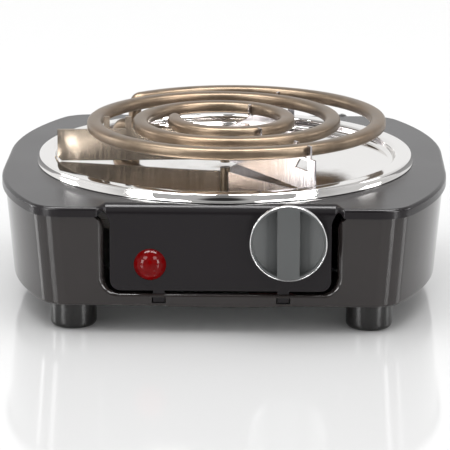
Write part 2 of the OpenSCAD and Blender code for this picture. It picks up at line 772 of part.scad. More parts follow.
module thermostat_frame() color("#b5b8bb") {
    difference() {
        union() {
            translate([shaft_x - frame_w / 2, -frame_front, blade_low])
                cube([frame_w, frame_t, shaft_h - blade_low + bush_d]);
            forward(shaft_x, shaft_h, bush_d / 2, bush_back, fascia_y + 0.6);
        }
        forward(shaft_x, shaft_h, shaft_d / 2 + shaft_clear, bush_back - 1, fascia_y + 2);
        for (s = [-1, 1]) forward(shaft_x + s * screw_spread, shaft_h,
            small_screw_d / 2, frame_back - 1, frame_front + 1);
        forward(shaft_x, stack_z, small_screw_d / 2 + screw_clear, frame_back - 1, frame_front + 1);
    }
}

module thermostat_screws() color("#c8ccd0") {
    for (s = [-1, 1]) {
        forward(shaft_x + s * screw_spread, shaft_h, small_screw_d / 2, frame_back - 1.5, fascia_y);
        forward(shaft_x + s * screw_spread, shaft_h, small_screw_d - 0.5, fascia_y, fascia_y + small_head_h - 0.2);
    }
}

module thermostat_stack() color("#efeae0") {
    spans = [[blade_y[0] + blade_t, frame_back], [blade_y[1] + blade_t, blade_y[0]], [blade_y[1] - washer_t, blade_y[1]]];
    for (s = spans) difference() {
        forward(shaft_x, stack_z, stack_d / 2, s[0], s[1]);
        forward(shaft_x, stack_z, small_screw_d / 2 + screw_clear, s[0] - 1, s[1] + 1);
    }
}

module stack_rivet() color("#c8ccd0") {
    forward(shaft_x, stack_z, small_screw_d / 2, blade_y[1] - washer_t, frame_front - 0.1);
    forward(shaft_x, stack_z, small_screw_d, blade_y[1] - washer_t - 1.2, blade_y[1] - washer_t);
}

module contact_blades() color("#b87333") {
    for (y = blade_y) difference() {
        translate([shaft_x - blade_w / 2, -y - blade_t, blade_low])
            cube([blade_w, blade_t, shaft_h - blade_low + 3]);
        forward(shaft_x, stack_z, small_screw_d / 2 + screw_clear, y - 1, y + 2);
    }
}

// a round bar with a flat on top, in the shaft's place
module flatted(r, y0, y1) {
    difference() {
        forward(shaft_x, shaft_h, r, y0, y1);
        translate([shaft_x - r, -y1 - 1, shaft_h + r - 1.5]) cube([2 * r, y1 - y0 + 2, r]);
    }
}

module control_shaft() color("#c8ccd0") {
    forward(shaft_x, shaft_h, shaft_d / 2, shaft_back, knob_back);
    flatted(shaft_d / 2, knob_back - eps, shaft_front);
}

module shaft_clip() color("#8f9396") {
    difference() {
        forward(shaft_x, shaft_h, shaft_d / 2 + 2, bush_back - 0.2 - clip_t, bush_back - 0.2);
        forward(shaft_x, shaft_h, shaft_d / 2, bush_back - 3, bush_back + 1);
        translate([shaft_x - 1.5, -bush_back - 1, shaft_h - shaft_d]) cube([3, 4, shaft_d]);
    }
}

module knob() color("#5b5c5c") {
    face_r = knob_d / 2 - ring_w;
    hollow_r = face_r - 0.8;
    difference() {
        translate([shaft_x, -knob_back, shaft_h]) rotate([90, 0, 0])
            cylinder(r1 = knob_d / 2 - knob_taper, r2 = knob_d / 2, h = knob_depth);
        difference() {
            forward(shaft_x, shaft_h, knob_d / 2 + 2, knob_front - ring_depth, knob_front + 1);
            forward(shaft_x, shaft_h, face_r, knob_front - ring_depth - 1, knob_front + 2);
        }
        for (s = [-1, 1]) intersection() {
            forward(shaft_x, shaft_h, hollow_r, knob_front - hollow_depth - 1, knob_front + 1);
            translate([shaft_x, 0, shaft_h - knob_d]) linear_extrude(2 * knob_d) polygon([
                [s * grip_w / 2, -knob_front - 1], [s * grip_w / 2, -knob_front + hollow_depth],
                [s * (grip_w / 2 + 4), -knob_front + hollow_depth - 0.6],
                [s * knob_d / 2, -knob_front + 0.8], [s * knob_d / 2, -knob_front - 1]]);
        }
        difference() {
            forward(shaft_x, shaft_h, knob_d / 2 - knob_taper - knob_wall, knob_back - 1,
                knob_front - hollow_depth - knob_wall);
            forward(shaft_x, shaft_h, shaft_d / 2 + 2.2, knob_back - 2, knob_front);
        }
        flatted(shaft_d / 2 + 0.03, knob_back - 1, shaft_front + 0.2);
    }
}

module knob_ring() color("#c9c9c9") {
    difference() {
        forward(shaft_x, shaft_h, knob_d / 2, knob_front - ring_depth, knob_front);
        forward(shaft_x, shaft_h, knob_d / 2 - ring_w, knob_front - ring_depth - 1, knob_front + 1);
    }
}

// ---- indicator ----

dome_r = (pow(lens_d / 2, 2) + pow(dome_h, 2)) / (2 * dome_h);

module indicator_lens() color("#8f0a0c") {
    difference() {
        union() {
            intersection() {
                translate([lens_x, -fascia_y - dome_h + dome_r, lens_h]) rotate([90, 0, 0]) sphere(r = dome_r);
                forward(lens_x, lens_h, lens_d, fascia_y, fascia_y + dome_h + 1);
            }
            forward(lens_x, lens_h, stem_d / 2, fascia_y - stem_l, fascia_y + eps);
        }
        forward(lens_x, lens_h, lamp_d / 2 + 0.5, fascia_y - stem_l - 1, fascia_y + 1.5);
    }
}

module lens_clip() color("#8f9396") {
    difference() {
        forward(lens_x, lens_h, stem_d / 2 + 3.5, frame_front - 1, frame_front);
        forward(lens_x, lens_h, stem_d / 2 + 0.05, frame_front - 2, frame_front + 1);
    }
}

module indicator_lamp() color("#e8c9a8") {
    forward(lens_x, lens_h, lamp_d / 2, lamp_back, fascia_y - 2);
    translate([lens_x, -fascia_y + 2, lens_h]) sphere(d = lamp_d);
}

// ---- wiring ----

module cord_bushing() color("#1d1d1e") {
    at_inlet() difference() {
        union() {
            translate([0, 0, -6]) cylinder(d = inlet_d, h = 8);
            cylinder(d = inlet_d + 4, h = 2.5);
            translate([0, 0, -sheet - 2.6]) cylinder(d = inlet_d + 1.6, h = 2);
        }
        translate([0, 0, -7]) cylinder(d = inlet_bore_d, h = 12);
    }
}

function way_x(i) = block_x + block_l * (i + 0.5) / ways;

module terminal_block() color("#efeae0") {
    difference() {
        translate([block_x, block_y, inside_z]) cube([block_l, block_w, block_h]);
        for (i = [0:ways - 1]) translate([way_x(i), block_y + block_w / 2, inside_z + block_h - 5])
            cylinder(r = small_screw_d / 2 + screw_clear, h = 6);
    }
}

module terminal_screws() color("#c9a24b") {
    for (i = [0:ways - 1]) translate([way_x(i), block_y + block_w / 2, inside_z + block_h - 4.8]) {
        cylinder(d = small_screw_d, h = 5);
        translate([0, 0, 4.8]) cylinder(r = small_screw_d, h = 1.6);
    }
}

module wire_supply() color("#20242a") {
    y = -blade_y[1] - blade_t / 2;
    rod([[way_x(2), block_y, block_z], [way_x(2), block_y - 8, block_z], [shaft_x, y, block_z],
        [shaft_x, y, blade_low]], wire_d / 2);
}

module wire_switched() color("#7a2420") {
    x = shaft_x + blade_w / 4;
    y = -blade_y[0] - blade_t / 2;
    rod([[way_x(1), block_y, block_z], [way_x(1), block_y - 12, block_z],
        [way_x(1), block_y - 12, wire_low], [way_x(1), y, wire_low], [x, y, wire_low], [x, y, blade_low]],
        wire_d / 2);
}

module wire_lamp_feed() color("#e6e2d8") {
    x = shaft_x - blade_w / 4;
    y = -blade_y[0] - blade_t / 2;
    rod([[lens_x + 1.6, -lamp_back, lens_h], [lens_x + 1.6, -lamp_back + 4, lens_h],
        [lens_x + 1.6, -lamp_back + 4, wire_high], [x, y, wire_high], [x, y, blade_low]], wire_d / 2);
}

module wire_lamp_return() color("#e6e2d8") {
    rod([[lens_x - 1.6, -lamp_back, lens_h], [lens_x - 1.6, 0, lens_h], [lens_x - 1.6, 0, block_z],
        [way_x(0), 0, block_z], [way_x(0), block_y, block_z]], wire_d / 2);
}

// ---- feet and fasteners ----

head_r = foot_screw_d;

module foot(x, y) {
    translate([x, y, 0]) difference() {
        rotate_extrude() {
            square([foot_d / 2 - foot_round, foot_h]);
            translate([0, foot_round]) square([foot_d / 2, foot_h - foot_round]);
            translate([foot_d / 2 - foot_round, foot_round]) circle(r = foot_round);
        }
        translate([0, 0, -1]) cylinder(r = head_r + 0.5, h = foot_h / 2 + 1);
        cylinder(r = foot_screw_d / 2 + screw_clear, h = foot_h + 1);
    }
}

module foot_front_left() color("#1c1b1b") foot(-foot_x, -foot_y);
module foot_front_right() color("#1c1b1b") foot(foot_x, -foot_y);
module foot_back_left() color("#1c1b1b") foot(-foot_x, foot_y);
module foot_back_right() color("#1c1b1b") foot(foot_x, foot_y);

module foot_screws() color("#b5b8bb") {
    at_feet() {
        translate([0, 0, foot_h / 2 - head_h]) cylinder(r = head_r, h = head_h);
        translate([0, 0, foot_h / 2 - eps]) cylinder(d = foot_screw_d, h = inside_z + nut_h + 1 - foot_h / 2);
    }
}

module foot_nuts() color("#b5b8bb") {
    at_feet() translate([0, 0, inside_z]) difference() {
        cylinder(r = foot_screw_d, h = nut_h, $fn = 6);
        translate([0, 0, -1]) cylinder(r = foot_screw_d / 2 + 0.03, h = nut_h + 2);
    }
}

module cover_screws() color("#b5b8bb") {
    at_cover_screws() {
        cylinder(r = small_screw_d, h = small_head_h);
        translate([0, 0, -cover_screw_l]) cylinder(d = small_screw_d, h = cover_screw_l + eps);
    }
}

top_cover();
lower_housing();
base_plate();
heat_shield();
drip_pan();
heating_coil();
coil_leads();
lead_seals();
terminal_pins();
support_arm_left();
support_arm_front();
support_arm_back();
support_hub();
coil_bracket();
hinge_bracket();
hinge_pin();
thermostat_frame();
thermostat_screws();
thermostat_stack();
stack_rivet();
contact_blades();
control_shaft();
knob();
knob_ring();
shaft_clip();
indicator_lens();
lens_clip();
indicator_lamp();
cord_bushing();
terminal_block();
terminal_screws();
wire_supply();
wire_switched();
wire_lamp_feed();
wire_lamp_return();
foot_front_left();
foot_front_right();
foot_back_left();
foot_back_right();
foot_screws();
foot_nuts();
cover_screws();
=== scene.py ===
import bpy, bmesh, math
from mathutils import Matrix, Vector


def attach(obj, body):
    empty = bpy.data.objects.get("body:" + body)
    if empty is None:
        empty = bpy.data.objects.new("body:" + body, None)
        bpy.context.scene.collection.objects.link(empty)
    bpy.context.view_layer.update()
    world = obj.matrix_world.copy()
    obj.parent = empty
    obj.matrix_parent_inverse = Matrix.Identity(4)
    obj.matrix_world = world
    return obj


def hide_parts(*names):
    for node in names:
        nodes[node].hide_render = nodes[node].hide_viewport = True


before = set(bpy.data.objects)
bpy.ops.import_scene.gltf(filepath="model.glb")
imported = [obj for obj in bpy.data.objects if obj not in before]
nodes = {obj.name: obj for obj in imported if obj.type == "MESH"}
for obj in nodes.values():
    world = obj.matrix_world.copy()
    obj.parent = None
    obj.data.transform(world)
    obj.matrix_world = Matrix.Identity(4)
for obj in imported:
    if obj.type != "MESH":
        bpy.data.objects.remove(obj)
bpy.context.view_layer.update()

# ---- camera ----
# A long lens 1.4 m away, 14.5 degrees above the table and a little to the right of the middle.
scene = bpy.context.scene
scene.view_settings.view_transform = "Standard"
right = Vector((0.99972841, 0.02321048, 0.00209291))
up = Vector((-0.00783621, 0.25022426, 0.96815619))
ahead = Vector((-0.02194768, 0.96790965, -0.25033818))
focal_px, picture_px, film_mm = 2810.46, 450, 36
cam = bpy.data.objects.new("camera", bpy.data.cameras.new("camera"))
scene.collection.objects.link(cam)
cam.data.sensor_width = film_mm
cam.data.lens = focal_px / picture_px * film_mm
cam.data.clip_start, cam.data.clip_end = 0.1, 50
cam.matrix_world = Matrix((right, up, -ahead)).transposed().to_4x4()
cam.location = (0.030874, -1.364402, 0.381092)
scene.camera = cam


# ---- top cover ----
# One pressed sheet of 0.8 mm steel with a round hole for the pan. Its edge is turned down into a
# narrow lip, and at the front it folds down into the fascia, whose two tongues drop into the
# housing's slots. Black enamel is sprayed on and baked. Sizes are in mm, metres come at the end.

def lin(code):
    """An sRGB hex colour as linear RGBA."""
    parts = [int(code[i:i + 2], 16) / 255 for i in (1, 3, 5)]
    return [*(c / 12.92 if c <= 0.04045 else ((c + 0.055) / 1.055) ** 2.4 for c in parts), 1]


def add(mat, kind, setup=None, **inputs):
    """Adds a shader node with its settings and links: inputs are values or sockets, with _ for a
    space in a socket's name, and i6 for input 6."""
    n = mat.node_tree.nodes.new("ShaderNode" + kind)
    for k, v in (setup or {}).items():
        setattr(n, k, v)
    for k, v in inputs.items():
        numbered = k[0] == "i" and k[1:].isdigit()
        s = n.inputs[int(k[1:])] if numbered else n.inputs[k.replace("_", " ")]
        if isinstance(v, bpy.types.NodeSocket):
            mat.node_tree.links.new(v, s)
        else:
            s.default_value = v
    return n.outputs[0]


def begin(name, colour, rough, metal=0.0):
    """A new material; returns it, its Principled shader and the Object coordinates."""
    mat = bpy.data.materials.new(name)
    mat.use_nodes = True
    shader = mat.node_tree.nodes["Principled BSDF"]
    shader.inputs["Base Color"].default_value = lin(colour)
    shader.inputs["Roughness"].default_value = rough
    shader.inputs["Metallic"].default_value = metal
    where = mat.node_tree.nodes.new("ShaderNodeTexCoord").outputs["Object"]
    return mat, shader, where


def link(mat, socket, target):
    mat.node_tree.links.new(socket, target)


def across(mm):
    """The noise scale whose lumps are this many millimetres across."""
    return 1000.0 / mm


# semi-gloss black baking enamel: the spray leaves a slight orange peel of 1.4 mm lumps, and
# uneven baking leaves cloudy changes of gloss some 45 mm across
enamel, sh, at = begin("black_enamel", "#1c181b", 0.24)
peel = add(enamel, "TexNoise", Vector=at, Scale=across(1.4286), Detail=2.0)
cloud = add(enamel, "TexNoise", Vector=at, Scale=across(45.455), Detail=4.0)
link(enamel, add(enamel, "MapRange", Value=cloud, To_Min=0.2, To_Max=0.3), sh.inputs["Roughness"])
link(enamel, add(enamel, "Bump", Height=peel, Strength=0.12, Distance=0.0001), sh.inputs["Normal"])
sh.inputs["Specular IOR Level"].default_value = 0.3

cover_top, fascia_y, lip_y = 62.5, -96.3, -102.5
fold_r, lip_r, pan_hole_r = 5, 1.6, 86
fold_end, lip_end = 53.4, 58.0
fold_low, lip_low = 57.5, 57.9
fascia_half, fascia_corner_x, fascia_corner_z, fascia_corner_r = 51.85, 46.85, 26.1, 5
tongues, tongue_half, tongue_top, tongue_low = (-28.9, 29.5), 2.7, 21.1, 15.4
sheet_m = 0.0008
# bottom of the sheet from the fascia's flared corner, over the arch beside it, to the lip's end
arch = [(fold_end, fold_low), (54.0, 58.7), (54.7, 59.5), (55.4, 59.8), (56.3, 59.3), (57.2, 58.5),
        (lip_end, lip_low)]
flare = [(fascia_half, 53), (52.05, 54.5), (52.55, 56), (fold_end, fold_low)]
steps = range(0, 91, 10)


def arc(cx, cy, r, a0, a1, n):
    """Points on an arc in a plane, in mm, angles in degrees."""
    return [(cx + r * math.cos(math.radians(a0 + (a1 - a0) * i / n)),
             cy + r * math.sin(math.radians(a0 + (a1 - a0) * i / n))) for i in range(n + 1)]


def plan(inset):
    """The body's outline set in by inset, anticlockwise from the right end of the front edge."""
    side_corner_angle = 29.5
    bowed_side = arc(-41.3, 20, 150 - inset, 0, side_corner_angle, 20)
    corner = arc(74.45, 85.5, 17 - inset, side_corner_angle, 90, 12)
    quarter = bowed_side + corner[1:]
    half_way = [(x, -y) for x, y in reversed(quarter)] + quarter
    return half_way + [(-x, y) for x, y in reversed(half_way)]


def vert(x, y, z):
    """The vertex at a place, made once and then shared by the faces that meet there."""
    key = (round(x, 3), round(y, 3), round(z, 3))
    if key not in grid:
        grid[key] = bm.verts.new((x, y, z))
    return grid[key]


def turn_down(x, low):
    """The sheet's profile where it turns from the fascia's fold to the lip, from top to edge."""
    t = min(max((x - fold_end) / (lip_end - fold_end), 0), 1)
    t = t * t * (3 - 2 * t)
    y, r = fascia_y + (lip_y - fascia_y) * t, fold_r - (fold_r - lip_r) * t
    span = math.degrees(math.acos(max(1 - (cover_top - low) / r, 0)))
    row = []
    for a in steps:
        turned = math.radians(a * span / 90)
        row.append((x, y + r * (1 - math.sin(turned)), cover_top - r * (1 - math.cos(turned))))
    return row + [(x, y, low)] if low < cover_top - 0.1 - r else row


def settle(bm, name, node, mat, body, smooth=35):
    """Makes a piece in metres from a mesh in mm, standing for a CAD node."""
    bmesh.ops.scale(bm, vec=(0.001, 0.001, 0.001), verts=bm.verts)
    mesh = bpy.data.meshes.new(name)
    bm.to_mesh(mesh)
    bm.free()
    ob = bpy.data.objects.new(name, mesh)
    scene.collection.objects.link(ob)
    mesh.materials.append(mat)
    for p in mesh.polygons:
        p.use_smooth = True
    mesh.set_sharp_from_angle(angle=math.radians(smooth))
    for n in node if isinstance(node, tuple) else (node,):
        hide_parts(n)
    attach(ob, body)
    return ob


# the bend from fold to lip changes its radius and depth all the way, which no operator makes, so
# its rows are joined face by face
bm = bmesh.new()
grid = {}
columns = [turn_down(x, low) for x, low in arch]
lip_rows = [plan(lip_r * (1 - math.sin(math.radians(a)))) for a in steps]
lip_rows.append(lip_rows[-1])
down = [cover_top - lip_r + lip_r * math.cos(math.radians(a)) for a in steps] + [lip_low]
right_half = len(lip_rows[0]) // 2
for q in range(right_half):
    columns.append([(r[q][0], r[q][1], z) for r, z in zip(lip_rows, down)])
columns.append([(0, r[right_half - 1][1], z) for r, z in zip(lip_rows, down)])
fold = turn_down(0, fold_low)
for side in (1, -1):
    for a, b in zip(columns, columns[1:]):
        for q in range(max(len(a), len(b)) - 1):
            quad = [c[min(k, len(c) - 1)] for c, k in ((a, q), (a, q + 1), (b, q + 1), (b, q))]
            ring = list(dict.fromkeys(vert(side * x, y, z) for x, y, z in quad))
            if len(ring) > 2:
                bm.faces.new(ring)
    edge = [(0, fold[0][1])] + [(c[0][0], c[0][1]) for c in columns]
    edge += arc(0, 0, pan_hole_r, 90, -90, 72)
    bm.faces.new([vert(side * x, y, cover_top) for x, y in edge])
    for (_, y0, z0), (_, y1, z1) in zip(fold, fold[1:]):
        bm.faces.new([vert(0, y0, z0), vert(0, y1, z1),
                      vert(side * fold_end, y1, z1), vert(side * fold_end, y0, z0)])
corner = (fascia_corner_z, fascia_corner_r)
skirt = [(-x, z) for x, z in flare[::-1]] + [(-fascia_half, fascia_corner_z)]
skirt += arc(-fascia_corner_x, *corner, 180, 270, 8)[1:]
for x in tongues:
    skirt += [(x - tongue_half, tongue_top), (x - tongue_half, tongue_low),
              (x + tongue_half, tongue_low), (x + tongue_half, tongue_top)]
skirt += arc(fascia_corner_x, *corner, 270, 360, 8) + flare + [(0, fold_low)]
bm.faces.new([vert(x, fascia_y, z) for x, z in skirt])
bmesh.ops.recalc_face_normals(bm, faces=bm.faces)
if sum(f.normal.z * f.calc_area() for f in bm.faces) < 0:
    bmesh.ops.reverse_faces(bm, faces=bm.faces)
cover = settle(bm, "cover", "top_cover", enamel, "base")
m = cover.modifiers.new("sheet", "SOLIDIFY")
m.thickness, m.offset = sheet_m, -1
m = cover.modifiers.new("edges", "BEVEL")
m.limit_method, m.angle_limit, m.width, m.segments = "ANGLE", math.radians(60), 0.0002, 2
m = cover.modifiers.new("normals", "WEIGHTED_NORMAL")
m.keep_sharp = True


# ---- lower housing ----
# One drawn box of 0.8 mm steel with leaning walls. The front opening has a rolled-in edge, the
# strip below it has two punched slots for the cover's tongues, and the bottom is flanged inward.
# It is sprayed with glossy black lacquer.

# glossy black lacquer, browner where the steel shows through thin paint: patches of tone 33 mm
# across, and a faint orange peel of 2 mm lumps
lacquer, sh, at = begin("black_lacquer", "#120f0e", 0.1)
tint = add(lacquer, "TexNoise", Vector=at, Scale=across(33.333), Detail=5.0)
tone = add(lacquer, "Mix", {"data_type": "RGBA"}, Factor=tint,
           i6=lin("#252120"), i7=lin("#2e2827")).node.outputs[2]
link(lacquer, tone, sh.inputs["Base Color"])
peel = add(lacquer, "TexNoise", Vector=at, Scale=across(2), Detail=1.0)
link(lacquer, add(lacquer, "Bump", Height=peel, Strength=0.08, Distance=0.0001),
     sh.inputs["Normal"])

wall_top, wall_low, front_y = 61.7, 13.5, -101.3
# the share by which the outline shrinks from the top of the wall to its bottom
lean_x, lean_y = 0.03814, 0.04047
slot_half, slot_low, slot_top, strip_top, mouth_low = 3.3, 15.2, 18.2, 18.4, 19.6
bottom_hole_r, mouth_depth_y, slot_depth_y, flat_half = 90, -93.8, -96.4, 74.45
# the left edge of the front opening from the top down, then how far the roll reaches from it
# and which way, at each of its points
mouth = [(-58.15, wall_top), (-58.1, 57.2), (-57.3, 56.3), (-56.1, 55.2), (-55.2, 53.8),
         (-54.75, 52), (-54.75, 27.5)] + arc(-46.85, 27.5, 7.9, 180, 270, 8)[1:]
reach = [1.6, 1.8, 2.0, 2.3, 2.8, 3.6, 3.6] + [3.6 - 2.4 * t / 8 for t in range(1, 9)]
away = [(-1, 0), (-0.93, 0.37), (-0.75, 0.66), (-0.78, 0.62), (-0.93, 0.37), (-1, 0), (-1, 0)] \
    + arc(0, 0, 1, 180, 270, 8)[1:]


def wall(x, y, z):
    """A point of the leaning wall above or below its place at the top."""
    f = (wall_top - z) / (wall_top - wall_low)
    return vert(x * (1 - lean_x * f), y * (1 - lean_y * f), z)


def front(x, z):
    """A point of the front wall at a true x."""
    f = (wall_top - z) / (wall_top - wall_low)
    return vert(x, front_y * (1 - lean_y * f), z)


def rolled(i, a):
    """A point of the rolled edge: a is 0 on the front wall and 90 where it turns in."""
    (x, z), (ox, oz) = roll_in[i], roll_out[i]
    t = 1 - math.sin(math.radians(a))
    y = front(ox, oz).co.y
    deep = math.hypot(ox - x, oz - z) * (1 - math.cos(math.radians(a)))
    return vert(x + (ox - x) * t, y + deep, z + (oz - z) * t)


# the walls lean two ways and the roll narrows as it runs, so these faces too are joined by hand
bm = bmesh.new()
grid = {}
top = plan(1.2)
for (x0, y0), (x1, y1) in zip(top, top[1:]):
    bm.faces.new([wall(x0, y0, wall_top), wall(x0, y0, wall_low),
                  wall(x1, y1, wall_low), wall(x1, y1, wall_top)])
outer = [(x + w * dx, z + w * dz) for (x, z), w, (dx, dz) in zip(mouth, reach, away)]
outer[0] = (outer[0][0], wall_top)
mouth_right = [(-x, z) for x, z in reversed(mouth)]
outer_right = [(-x, z) for x, z in reversed(outer)]
slots = [(x - slot_half, x + slot_half) for x in tongues]
(left_a, left_b), (right_a, right_b) = slots
strip_x = (left_a, left_b, right_a, right_b)
column = [wall_low, slot_low, slot_top, strip_top]
foot_x = flat_half * (1 - lean_x)
for outline in (
        [(-flat_half, wall_top), (-foot_x, wall_low)] + [(left_a, z) for z in column]
        + outer[::-1],
        outer_right[::-1] + [(right_b, z) for z in column[::-1]]
        + [(foot_x, wall_low), (flat_half, wall_top)],
        [(right_a, z) for z in column] + [(left_b, z) for z in column[::-1]]):
    bm.faces.new([front(x, z) for x, z in outline])
for x0, x1 in slots:
    for z0, z1 in ((wall_low, slot_low), (slot_top, strip_top)):
        bm.faces.new([front(x0, z0), front(x1, z0), front(x1, z1), front(x0, z1)])
    hole = [(x0, slot_low), (x1, slot_low), (x1, slot_top), (x0, slot_top)]
    for (xa, za), (xb, zb) in zip(hole, hole[1:] + hole[:1]):
        bm.faces.new([front(xa, za), front(xb, zb), vert(xb, slot_depth_y, zb),
                      vert(xa, slot_depth_y, za)][::-1])
roll_in = mouth + [(x, mouth_low) for x in strip_x] + mouth_right
roll_out = outer + [(x, strip_top) for x in strip_x] + outer_right
for i in range(len(roll_in) - 1):
    for a in range(0, 90, 15):
        bm.faces.new([rolled(i, a), rolled(i, a + 15), rolled(i + 1, a + 15), rolled(i + 1, a)])
    (xa, za), (xb, zb) = roll_in[i], roll_in[i + 1]
    bm.faces.new([rolled(i, 90), vert(xa, mouth_depth_y, za), vert(xb, mouth_depth_y, zb),
                  rolled(i + 1, 90)])
low = [(x * (1 - lean_x), y * (1 - lean_y)) for x, y in top]
y_low = front_y * (1 - lean_y)
for side, marks in ((1, (right_a, right_b)), (-1, (-left_b, -left_a))):
    sill = [(0, y_low)] + [(x, y_low) for x in marks] + low[:len(low) // 2] + [(0, -y_low)] \
        + arc(0, 0, bottom_hole_r, 90, -90, 72)
    edge = [vert(side * x, y, wall_low) for x, y in sill]
    bm.faces.new(edge[::-1] if side > 0 else edge)
weight = bm.edges.layers.float.new("bevel_weight_edge")
bmesh.ops.remove_doubles(bm, verts=bm.verts, dist=0.002)
bmesh.ops.recalc_face_normals(bm, faces=bm.faces)
for e in bm.edges:
    if len(e.link_faces) == 2 and e.link_faces[0].normal.dot(e.link_faces[1].normal) < 0.5:
        if all(abs(v.co.z - wall_low) < 0.01 for v in e.verts):
            e[weight] = 1.0
housing = settle(bm, "housing", "lower_housing", lacquer, "base")
m = housing.modifiers.new("rolled", "BEVEL")
m.limit_method, m.width, m.segments = "WEIGHT", 0.0014, 5
m = housing.modifiers.new("sheet", "SOLIDIFY")
m.thickness, m.offset = sheet_m, -1
m = housing.modifiers.new("normals", "WEIGHTED_NORMAL")
m.keep_sharp = True


# ---- drip pan ----
# One pressing of thin steel, plated with chrome, that rests loose on the cover with its bowl in
# the hole. It has a rim band, a flat ledge and a window at the back left for the coil's leads.

# polished chrome with faint wiping marks 17 mm across and shallow dents 36 mm across
chrome, sh, at = begin("pan_chrome", "#e4e2e0", 0.05, 1.0)
haze = add(chrome, "TexNoise", Vector=at, Scale=across(16.667), Detail=6.0, Roughness=0.7)
link(chrome, add(chrome, "MapRange", Value=haze, From_Min=0.4, From_Max=0.75, To_Min=0.03,
                 To_Max=0.12), sh.inputs["Roughness"])
dents = add(chrome, "TexNoise", Vector=at, Scale=across(35.714), Detail=1.0)
link(chrome, add(chrome, "Bump", Height=dents, Strength=0.1, Distance=0.0004),
     sh.inputs["Normal"])


def turn(bm, profile, steps, centre, upright=True):
    """Spins a profile of (radius, height) right round an upright axis through centre, or with
    upright off round one that runs to the front, where height is the place along it."""
    x, y, z = centre
    line = [bm.verts.new((x + r, y, h) if upright else (x + r, h, z)) for r, h in profile]
    edges = [bm.edges.new(pair) for pair in zip(line, line[1:])]
    bmesh.ops.spin(bm, geom=line + edges, cent=centre, axis=(0, 0, 1) if upright else (0, -1, 0),
                   angle=2 * math.pi, steps=steps, use_merge=True)
    bmesh.ops.remove_doubles(bm, verts=bm.verts, dist=0.001)
    bmesh.ops.recalc_face_normals(bm, faces=bm.faces)


# the coil's leads run out to the back left along out_way, side by side along across_way
lead_angle = math.radians(125)
out_way = Vector((math.cos(lead_angle), math.sin(lead_angle)))
across_way = Vector((-math.sin(lead_angle), math.cos(lead_angle)))
window_near, window_far, window_mid, window_half, window_under = 62, 91, 16, 13.7, 62.9
bowl_r, bowl_rise = 12, 2.4
pan_z = 59.5
profile = [(93.4, 62.8), (93.2, 63.1), (92.95, 63.5), (92.75, 64.3), (92.55, 65.3)] \
    + arc(91.6, 65.8, 0.9, 0, 90, 6) + [(89, 66.65), (86.6, 66.7)] \
    + arc(86.2, 64.5, 2.2, 90, 180, 8)[1:] + arc(81.5, 64.4, 2.5, 0, -90, 8) \
    + [(bowl_r + 69.5 * t, pan_z + bowl_rise * t) for t in (0.75, 0.5, 0.25)] \
    + [(bowl_r, pan_z), (6, 59.48), (0, 59.47)]
bm = bmesh.new()
turn(bm, profile, 240, (0, 0, 0))
gone = []
for f in bm.faces:
    c = f.calc_center_median()
    if (window_near < c.xy.dot(out_way) < window_far and c.z < window_under
            and abs(c.xy.dot(across_way) - window_mid) < window_half):
        gone.append(f)
bmesh.ops.delete(bm, geom=gone, context="FACES")
if max(bm.faces, key=lambda f: f.calc_area()).normal.z < 0:
    bmesh.ops.reverse_faces(bm, faces=bm.faces)
pan = settle(bm, "pan", "drip_pan", chrome, "base", 40)
m = pan.modifiers.new("sheet", "SOLIDIFY")
m.thickness, m.offset = 0.0006, -1


# ---- support arms, hub, bracket and hinge ----
# Three upright strips of rolled stainless steel carry the coil. A pin joins them in the middle,
# a zinc-plated bracket clamps the leads, and a pin through the bracket under the cover lets the
# coil tip up.

def steel(name, colour, rough, stretch, light, dark):
    """Rolled or drawn metal. Its real lines are too fine to show, so they stand 1.1 mm apart here
    and are drawn out long in one direction."""
    mat, sh, at = begin(name, colour, rough, 1.0)
    lines = add(mat, "TexNoise", Vector=add(mat, "Mapping", Vector=at, Scale=stretch),
                Scale=across(1.1111), Detail=3.0)
    tone = add(mat, "Mix", {"data_type": "RGBA"}, Factor=lines,
               i6=lin(dark), i7=lin(light)).node.outputs[2]
    link(mat, tone, sh.inputs["Base Color"])
    link(mat, add(mat, "MapRange", Value=lines, To_Min=rough - 0.08, To_Max=rough + 0.1),
         sh.inputs["Roughness"])
    link(mat, add(mat, "Bump", Height=lines, Strength=0.06, Distance=0.00002),
         sh.inputs["Normal"])
    return mat


def finish(mat, *names):
    """Gives a material to pieces that keep their CAD mesh."""
    for name in names:
        mesh = nodes[name].data
        mesh.materials.clear()
        mesh.materials.append(mat)


# rolled stainless strip, its lines upright; the left arm's warmer copy is a painted reflection
arm_steel = steel("arm_steel", "#a9a5a6", 0.2, (1.0, 1.0, 0.06), "#b9b5b8", "#8f8b8c")
arm_painted_reflection = steel("arm_steel_painted_reflection", "#b3a698", 0.22, (1.0, 1.0, 0.06), "#c2b5a6", "#9c8f80")
# dark oxide on the pin next to the red-hot middle of the coil
hub_steel = steel("hub_steel", "#5c5348", 0.4, (1.0, 1.0, 0.3), "#6d6254", "#3f382f")
# zinc plating of brackets and plates, dull and even
zinc = steel("zinc_steel", "#9b9d9c", 0.36, (0.3, 1.0, 1.0), "#aeb0af", "#838584")
# bright nickel of screws, pins and clips
bright = steel("bright_steel", "#c6c6c4", 0.22, (1.0, 0.4, 1.0), "#d6d6d4", "#a9a9a7")
finish(arm_steel, "support_arm_front", "support_arm_back")
# the left arm, seen broadside, takes the warmer copy: painted reflection in its face
finish(arm_painted_reflection, "support_arm_left")
finish(hub_steel, "support_hub")
finish(zinc, "coil_bracket", "hinge_bracket")
finish(bright, "hinge_pin")


# ---- heating coil ----
# One metal-sheathed tube, pressed a little flat and wound clockwise inward. Its round ends bend
# down and run back side by side under the turns, closed by ceramic seals with a pin in each.

